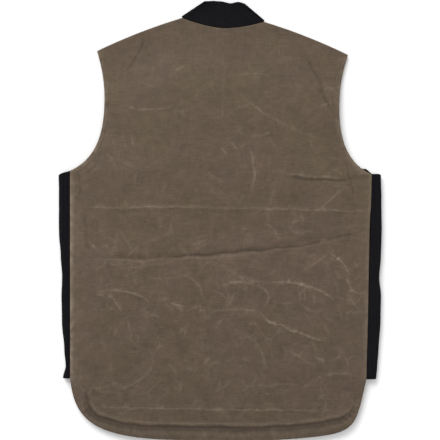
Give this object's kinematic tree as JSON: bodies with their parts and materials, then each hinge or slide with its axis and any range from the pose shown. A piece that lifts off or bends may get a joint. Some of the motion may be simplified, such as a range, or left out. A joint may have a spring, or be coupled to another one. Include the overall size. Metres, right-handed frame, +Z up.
{
  "type": "work vest",
  "caption": "Sleeveless waxed-canvas work vest with a rib-knit collar, rib-knit side panels and a rounded drop tail, zipped shut and lying flat, back up.",
  "frame": {"origin": "middle of the footprint, on the surface that the vest lies on", "axes": "+Y from the tail towards the collar, +Z up out of the back, +X to the wearer's right, as seen from above with the back up"},
  "size_m": [0.5862, 0.7978, 0.0268],
  "materials": {
    "waxed_canvas": "brown waxed canvas with light crease marks and a dull wax sheen",
    "rib_knit": "matt black rib knit",
    "zip": "dark woven tape with dull teeth"
  },
  "bodies": {
    "root": {"back_panel": "waxed_canvas", "front_panel_left": "waxed_canvas", "front_panel_right": "waxed_canvas", "side_rib_left": "rib_knit", "side_rib_right": "rib_knit", "collar": "rib_knit", "front_zip": "zip"}
  },
  "joints": []
}
